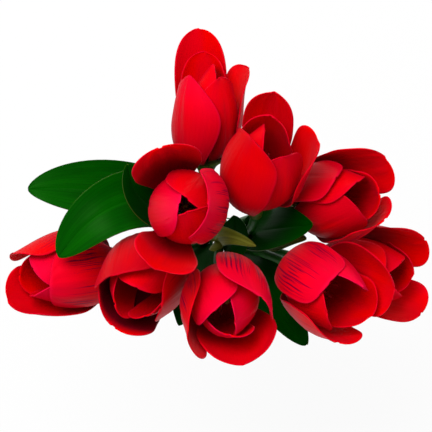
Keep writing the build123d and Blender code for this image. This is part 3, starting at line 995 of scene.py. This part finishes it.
def centre(number):
    """Receptacle with a three-sided pistil and six stamens"""
    flower = FLOWERS[number]
    sheets = Sheets()
    line = in_head(flower, [(0, 0, z) for z, _ in RECEPTACLE])
    tube(sheets, line, [r for _, r in RECEPTACLE], RECEPTACLE_SLOT, RECEPTACLE_SIDES)
    share = np.linspace(0, 1, PISTIL_ROWS)
    line = in_head(flower, np.stack([0 * share, 0 * share, PISTIL_FOOT + PISTIL_LENGTH * share], axis=1))
    swell = STIGMA_SWELL * rise(share, STIGMA_FROM, STIGMA_FADE)
    radii = PISTIL_R - PISTIL_WAIST * np.sin(math.pi * share) + swell
    radii[-1] = PISTIL_TOP_R
    tube(sheets, line, radii, PISTIL_SLOT, PISTIL_SIDES, **PISTIL_LOBES)
    for k in range(STAMENS):
        stamen(sheets, flower, FULL_TURN * k / STAMENS)
    name, body, node = f"tulip_{number}_centre", f"head_{number}", f"flower_{number}_centre"
    sheets.piece(name, CENTRE_LOOKS, body, "centre", node)


def stamen(sheets, flower, turn):
    """Bowed filament and a two-lobed anther"""
    def line(low, high, steps):
        length = np.linspace(low, high, steps)
        bow = STAMEN_BOW * np.sin(math.pi * np.clip(length / STAMEN_LENGTH, 0, 1))
        radius = STAMEN_ROOT_R + length * math.sin(STAMEN_LEAN) + bow
        height = STAMEN_ROOT_Z + length * math.cos(STAMEN_LEAN)
        return in_head(flower, np.stack([radius * math.cos(turn), radius * math.sin(turn), height], axis=1))

    radii = np.linspace(*FILAMENT_R, STAMEN_ROWS)
    tube(sheets, line(0, STAMEN_LENGTH, STAMEN_ROWS), radii, STAMEN_SLOT, STAMEN_SIDES)
    share = np.linspace(ANTHER_ENDS, 1 - ANTHER_ENDS, ANTHER_ROWS)
    radii = ANTHER_R * np.sqrt(np.clip(1 - (2 * share - 1) ** 2, ANTHER_ENDS, 1))
    anther = line(STAMEN_LENGTH, STAMEN_LENGTH + ANTHER_LENGTH, ANTHER_ROWS)
    tube(sheets, anther, radii, ANTHER_SLOT, ANTHER_SIDES, **ANTHER_LOBES)


STRAIGHT_ROWS = 30
BEND_ROWS = 70
STEM_SIDES = 28
STEM_GROOVES = dict(lobes=7, depth=0.05)


def stem(number):
    """Grooved plastic sleeve, straight out of the grip and then bent to its flower"""
    start, bend = stem_curve(number)
    sheets = Sheets()
    straight = start + np.linspace(0, 1, STRAIGHT_ROWS, endpoint=False)[:, None] * STRAIGHT * UP
    line = np.concatenate([straight, bezier(bend, at_length(bend, np.linspace(0, 1, BEND_ROWS)))])
    tube(sheets, line, np.full(len(line), STEM_R), 0, STEM_SIDES, **STEM_GROOVES)
    sheets.piece(f"stem_{number}_sleeve", [STEM_LOOK], "bunch", "stem", f"stem_{number}")


def leaf(number):
    """Embossed blade with its share of painted shade, in the shaded copy of the face without gloss where it
    lies in the shade of the heads
    """
    form = LEAVES[number]
    u = np.linspace(-1, 1, LEAF_COLUMNS)
    v = blade_rows(*LEAF_ROWS, LEAF_WIDEST_AT)
    surface, back = leaf_surface(form, u, v)
    surface = surface + leaf_relief(u, v, form["wave"])[:, :, None] * back
    sheets = Sheets()
    shell(sheets, surface, back, LEAF_T, u, v, seed=RELIEF_RNG.uniform(0, 1), dark=form["dark"])
    looks = SHADED_LEAF_LOOKS if form["dark"] > SHADED_FROM else LEAF_LOOKS
    sheets.piece(f"leaf_{number}_blade", looks, "bunch", "leaf", f"leaf_{number}")


TAPE_PITCH = 9.0
TAPE_STEP = 0.35
TAPE_INSET = 0.06
TAPE_ROWS = 181
TAPE_SIDES = 72
CREPE_DEPTH = 0.04
CREPE_TURNS = 23
CREPE_SLANT = 5.0
CREPE_RATE = 3.1


def grip_tape():
    """Binding of lapped tape, wound round the ring of stems"""
    sheets = Sheets()
    height = np.linspace(0, GRIP_LENGTH, TAPE_ROWS)[:, None]
    turn = np.linspace(0, FULL_TURN, TAPE_SIDES, endpoint=False)[None, :]
    lap = (height / TAPE_PITCH - turn / FULL_TURN) % 1.0
    crepe = CREPE_DEPTH * np.sin(CREPE_TURNS * turn + CREPE_SLANT * height) * np.sin(CREPE_RATE * height)
    radius = GRIP_R - TAPE_STEP * lap - TAPE_INSET + crepe
    skin = np.stack([radius * np.cos(turn), radius * np.sin(turn), height + 0 * turn], axis=-1)
    inside = GRIP_INSIDE_R * np.concatenate([np.cos(turn), np.sin(turn)]).T
    low = np.concatenate([inside, np.zeros((TAPE_SIDES, 1))], axis=1)
    high = np.concatenate([inside, np.full((TAPE_SIDES, 1), GRIP_LENGTH)], axis=1)
    ring_skin(sheets, np.concatenate([skin, high[None], low[None]]))
    sheets.piece("grip_tape", [TAPE_LOOK], "bunch", "tape", "binding")


def ring_skin(sheets, skin):
    """Rings joined in turn and the last back to the first"""
    rows, sides = skin.shape[:2]
    faces, uvs = [], []
    for r in range(rows):
        m = (r + 1) % rows
        for s in range(sides):
            n = (s + 1) % sides
            faces.append((r * sides + s, r * sides + n, m * sides + n, m * sides + s))
            uvs += [(s / sides, r / rows), ((s + 1) / sides, r / rows),
                    ((s + 1) / sides, (r + 1) / rows), (s / sides, (r + 1) / rows)]
    sheets.add(skin.reshape(-1, 3), faces, uvs, [0] * len(faces))


# Light, floor and camera: the lamp and the floor are placed in metres

FLOOR_Z = -0.0006
FLOOR_HALF = 6.0
FLOOR_TONE = (0.85, 0.85, 0.85, 1)
FLOOR_ROUGHNESS = 0.9
FLOOR_SHADE = 0.10
WHITE = (1, 1, 1, 1)
WORLD_STRENGTH = 0.56
KEY_AT = (-0.25, 0.45, 1.40)
KEY_TARGET = (0.0, 0.0, 0.33)
KEY_SIZE = 0.6
KEY_POWER = 15.0


def white_for_camera(tree, shade, output, kept_share):
    """Shows white to the camera, in mirrors and through glass, and keeps a share of the shading there"""
    def maths(operation, first, second):
        node = tree.nodes.new("ShaderNodeMath")
        node.operation = operation
        tree.links.new(first, node.inputs[0])
        if isinstance(second, float):
            node.inputs[1].default_value = second
        else:
            tree.links.new(second, node.inputs[1])
        return node.outputs[0]

    rays = tree.nodes.new("ShaderNodeLightPath").outputs
    seen = maths("MAXIMUM", rays["Is Camera Ray"], rays["Is Glossy Ray"])
    seen = maths("MAXIMUM", seen, rays["Is Transmission Ray"])
    of_material = output.bl_idname == "ShaderNodeOutputMaterial"
    white = tree.nodes.new("ShaderNodeEmission" if of_material else "ShaderNodeBackground")
    white.inputs["Color"].default_value = WHITE
    white.inputs["Strength"].default_value = 1.0
    mixed = tree.nodes.new("ShaderNodeMixShader")
    tree.links.new(maths("MULTIPLY", seen, 1.0 - kept_share), mixed.inputs[0])
    tree.links.new(shade, mixed.inputs[1])
    tree.links.new(white.outputs[0], mixed.inputs[2])
    tree.links.new(mixed.outputs[0], output.inputs["Surface"])


def floor():
    """Wide floor that shows no more than the shadow"""
    mesh = bpy.data.meshes.new("floor")
    corners = [(-1, -1), (1, -1), (1, 1), (-1, 1)]
    mesh.from_pydata([(x * FLOOR_HALF, y * FLOOR_HALF, FLOOR_Z) for x, y in corners], [], [(0, 1, 2, 3)])
    material = bpy.data.materials.new("floor")
    material.use_nodes = True
    tree = material.node_tree
    shader = tree.nodes["Principled BSDF"]
    shader.inputs["Base Color"].default_value = FLOOR_TONE
    shader.inputs["Roughness"].default_value = FLOOR_ROUGHNESS
    white_for_camera(tree, shader.outputs[0], tree.nodes["Material Output"], FLOOR_SHADE)
    mesh.materials.append(material)
    plane = bpy.data.objects.new("floor", mesh)
    bpy.context.scene.collection.objects.link(plane)


def world():
    """Even light from all sides, white to the camera"""
    sky = bpy.data.worlds.new("studio")
    bpy.context.scene.world = sky
    sky.use_nodes = True
    soft = sky.node_tree.nodes["Background"]
    soft.inputs["Color"].default_value = WHITE
    soft.inputs["Strength"].default_value = WORLD_STRENGTH
    white_for_camera(sky.node_tree, soft.outputs[0], sky.node_tree.nodes["World Output"], 0.0)


def lamp(name, place, target, size, power):
    """Soft square lamp turned to the target"""
    light = bpy.data.lights.new(name, "AREA")
    light.size = size
    light.energy = power
    lamp_object = bpy.data.objects.new(name, light)
    lamp_object.location = place
    direction = np.asarray(target) - np.asarray(place)
    yaw = math.atan2(direction[0], -direction[1])
    tilt = math.atan2(math.hypot(direction[0], direction[1]), -direction[2])
    lamp_object.rotation_euler = (-tilt, 0, yaw)
    bpy.context.scene.collection.objects.link(lamp_object)


def camera():
    """Looks straight down, as the photograph does"""
    data = bpy.data.cameras.new("camera")
    data.sensor_width = SENSOR
    data.lens = FOCAL_PIXELS * SENSOR / FRAME_PIXELS
    eye = bpy.data.objects.new("camera", data)
    eye.location = [c * MM for c in CAMERA_AT]
    bpy.context.scene.collection.objects.link(eye)
    bpy.context.scene.camera = eye


def dress(node, look):
    """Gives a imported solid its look"""
    materials = frame["nodes"][node].data.materials
    materials.clear()
    materials.append(look)


for number in FLOWERS:
    whorl(number, "outer", OUTER, OUTER_RIM_FREE)
    whorl(number, "inner", INNER, INNER_RIM_FREE)
    centre(number)
    stem(number)
    dress(f"flower_{number}_calyx", CALYX_LOOK)
for number in LEAVES:
    leaf(number)
grip_tape()
dress("core_wrap", TAPE_LOOK)
dress("stem_wires", WIRE_LOOK)

floor()
world()
lamp("key", KEY_AT, KEY_TARGET, KEY_SIZE, KEY_POWER)
camera()
bpy.context.scene.view_settings.view_transform = "Standard"
